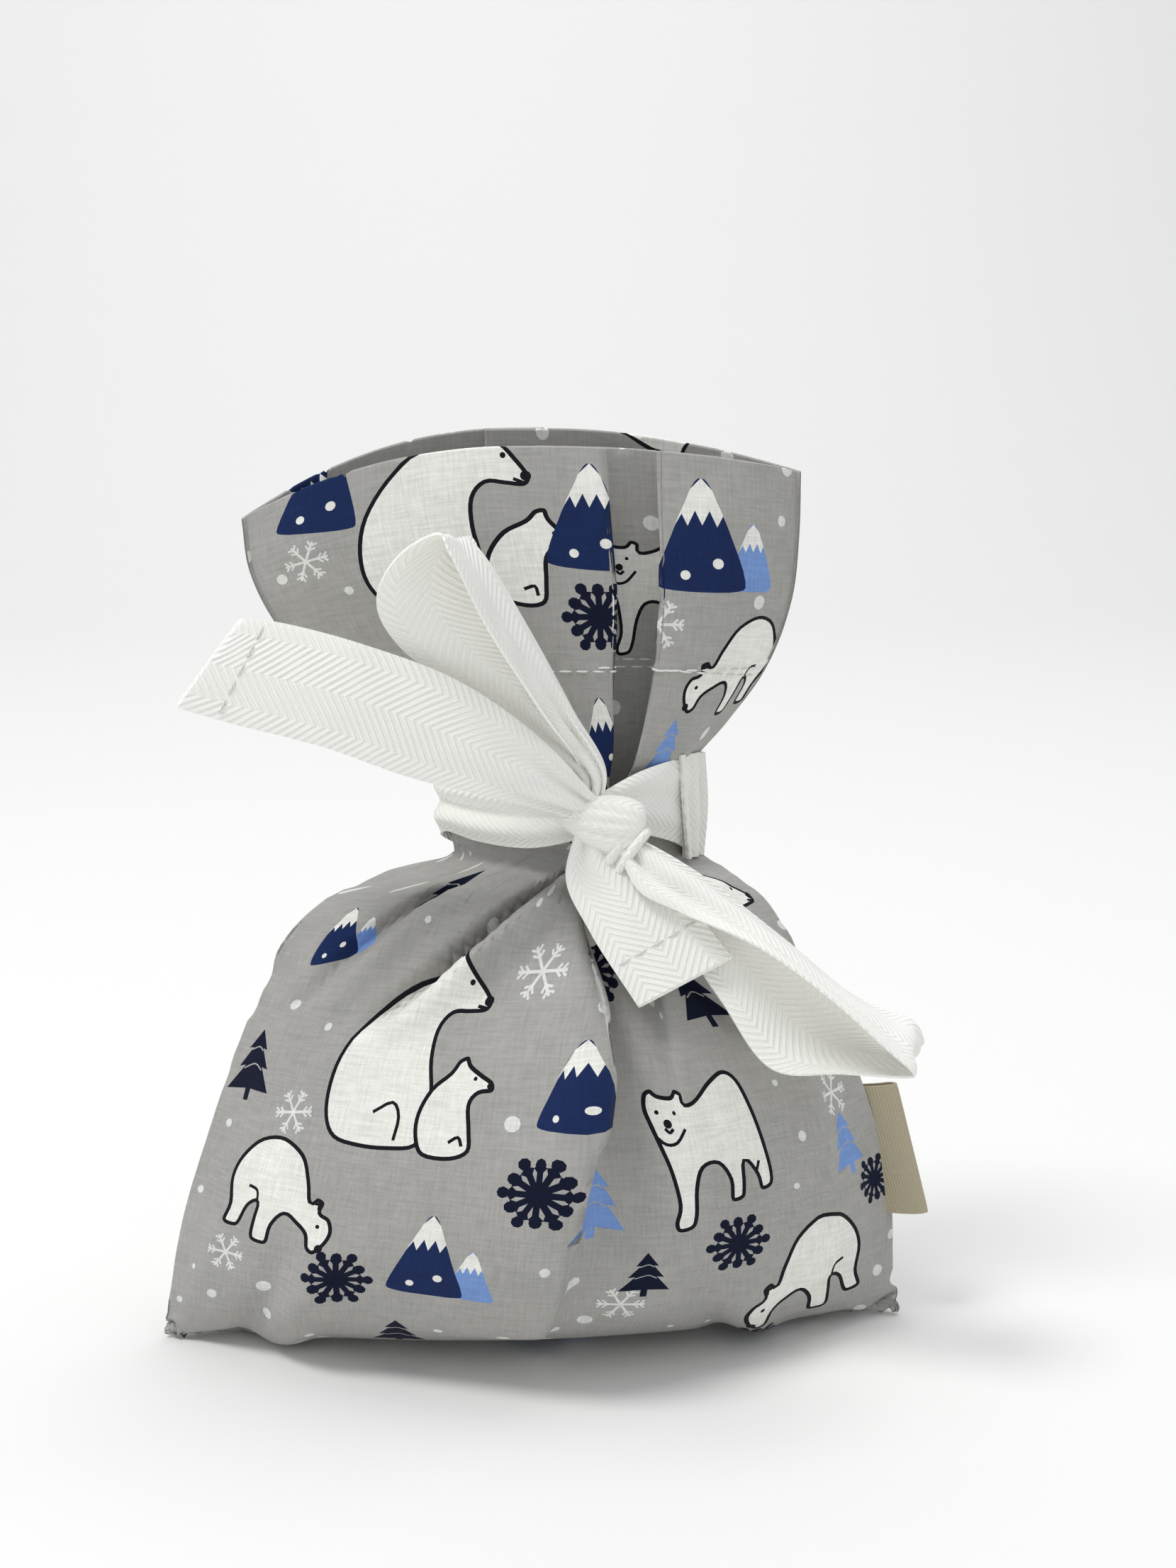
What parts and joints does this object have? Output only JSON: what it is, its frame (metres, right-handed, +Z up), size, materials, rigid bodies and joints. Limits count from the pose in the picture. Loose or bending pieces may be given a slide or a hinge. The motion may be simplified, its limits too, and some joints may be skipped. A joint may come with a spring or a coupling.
{
  "type": "gift pouch",
  "caption": "Filled cotton gift pouch with a printed winter pattern, gathered neck, flared collar and a herringbone tape tied in a bow.",
  "frame": {"origin": "middle of the base patch that the pouch stands on", "axes": "+X to the right along the width, -Y to the front with the bow, +Z up"},
  "size_m": [0.1213, 0.0612, 0.135],
  "materials": {
    "printed_cotton": "plain weave cotton with a small winter print",
    "tape": "off-white herringbone cotton tape",
    "thread": "white sewing thread",
    "label": "plain beige woven label, no lettering"
  },
  "bodies": {
    "pouch": {"front_panel": "printed_cotton", "back_panel": "printed_cotton", "left_side_seam": "printed_cotton", "right_side_seam": "printed_cotton", "bottom_seam": "printed_cotton", "neck_tape": "tape", "seam_anchor": "tape", "anchor_stitches": "thread", "bow_knot": "tape", "knot_wrap": "tape"},
    "collar": {"front_collar": "printed_cotton", "back_collar": "printed_cotton", "front_hem_facing": "printed_cotton", "back_hem_facing": "printed_cotton", "left_collar_seam": "printed_cotton", "right_collar_seam": "printed_cotton", "front_hem_stitches": "thread", "back_hem_stitches": "thread"},
    "upper_loop": {"upper_loop": "tape"},
    "right_loop": {"right_loop": "tape"},
    "left_tail": {"left_tail": "tape", "left_tail_hem": "tape", "left_tail_stitches": "thread"},
    "short_tail": {"short_tail": "tape", "short_tail_hem": "tape", "short_tail_stitches": "thread"},
    "label": {"label": "label"}
  },
  "joints": [
    {"name": "collar_bend", "type": "hinge", "parent": "pouch", "child": "collar", "pos_m": [0.006, 0, 0.0895], "axis": [1, 0, 0], "range_deg": [-30, 3], "stiffness_Nm_per_rad": 0.01},
    {"name": "upper_loop_bend", "type": "hinge", "parent": "pouch", "child": "upper_loop", "pos_m": [0.0052, -0.0142, 0.0886], "axis": [0, 1, 0], "range_deg": [0, 30], "stiffness_Nm_per_rad": 0.004},
    {"name": "right_loop_bend", "type": "hinge", "parent": "pouch", "child": "right_loop", "pos_m": [0.0188, -0.0186, 0.0754], "axis": [-0.5478, 0, -0.8366], "range_deg": [0, 45], "stiffness_Nm_per_rad": 0.004},
    {"name": "left_tail_bend", "type": "hinge", "parent": "pouch", "child": "left_tail", "pos_m": [-0.0006, -0.0192, 0.0862], "axis": [0, 0, 1], "range_deg": [0, 50], "stiffness_Nm_per_rad": 0.004},
    {"name": "short_tail_bend", "type": "hinge", "parent": "pouch", "child": "short_tail", "pos_m": [0.0074, -0.0172, 0.0744], "axis": [0, 1, 0], "range_deg": [0, 30], "stiffness_Nm_per_rad": 0.002},
    {"name": "label_flap", "type": "hinge", "parent": "pouch", "child": "label", "pos_m": [0.0549, 0, 0.02775], "axis": [-0.2766, 0, 0.961], "range_deg": [-55, 55], "stiffness_Nm_per_rad": 0.001}
  ]
}
